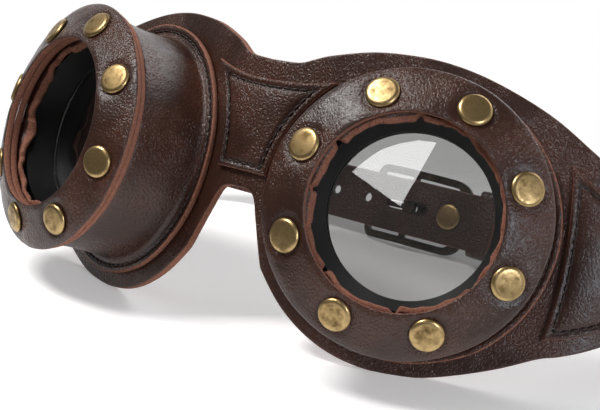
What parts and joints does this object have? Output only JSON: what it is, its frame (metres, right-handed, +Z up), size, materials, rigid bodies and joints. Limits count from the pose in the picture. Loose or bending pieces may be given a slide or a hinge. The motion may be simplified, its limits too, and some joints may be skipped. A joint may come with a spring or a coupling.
{
  "type": "steampunk goggles",
  "caption": "Steampunk goggles: two deep riveted leather eyecups with smoked lenses on a leather mask, held by a buckled strap.",
  "frame": {"origin": "middle of the bounding box's underside, on the surface that the goggles rest on", "axes": "+X to the wearer's left across the mask, as seen from the front to the right; -Y forwards out of the eyecups; +Z up, with the goggles leant back as they rest on a table"},
  "size_m": [0.216, 0.1525, 0.0834],
  "materials": {
    "leather": "dark brown pebbled leather with raw edges",
    "raw_leather": "raw leather split, cut edge showing",
    "brass": "antique brass, pressed",
    "black_plastic": "moulded black plastic, satin",
    "smoke_lens": "smoke-tinted lens"
  },
  "bodies": {
    "goggles": {"mask_base": "leather", "bridge_patch": "leather", "temple_patch_left": "leather", "temple_patch_right": "leather", "cup_wall_left": "leather", "cup_wall_right": "leather", "under_ring_left": "raw_leather", "under_ring_right": "raw_leather", "front_ring_left": "leather", "front_ring_right": "leather", "ring_rivets_left": "brass", "ring_rivets_right": "brass", "lens_sleeve_left": "black_plastic", "lens_sleeve_right": "black_plastic", "lens_left": "smoke_lens", "lens_right": "smoke_lens", "lens_retainer_left": "black_plastic", "lens_retainer_right": "black_plastic", "strap_left": "leather", "strap_right": "leather", "temple_rivets_left": "brass", "temple_rivets_right": "brass", "fold_rivet": "brass"},
    "buckle": {"buckle_frame": "brass"},
    "prong": {"buckle_prong": "brass"},
    "keeper": {"sliding_keeper": "leather"}
  },
  "joints": [
    {"name": "buckle_tilt", "type": "hinge", "parent": "goggles", "child": "buckle", "pos_m": [-0.009, 0.06572, 0.01399], "axis": [0, 0.3212, 0.947], "range_deg": [-1.2, 1.2]},
    {"name": "prong_swing", "type": "hinge", "parent": "buckle", "child": "prong", "pos_m": [-0.009, 0.06572, 0.01399], "axis": [0, -0.3212, -0.947], "range_deg": [0, 60]},
    {"name": "keeper_slide", "type": "slide", "parent": "goggles", "child": "keeper", "axis": [1, 0, 0], "range_m": [-0.005, 0.022]}
  ]
}
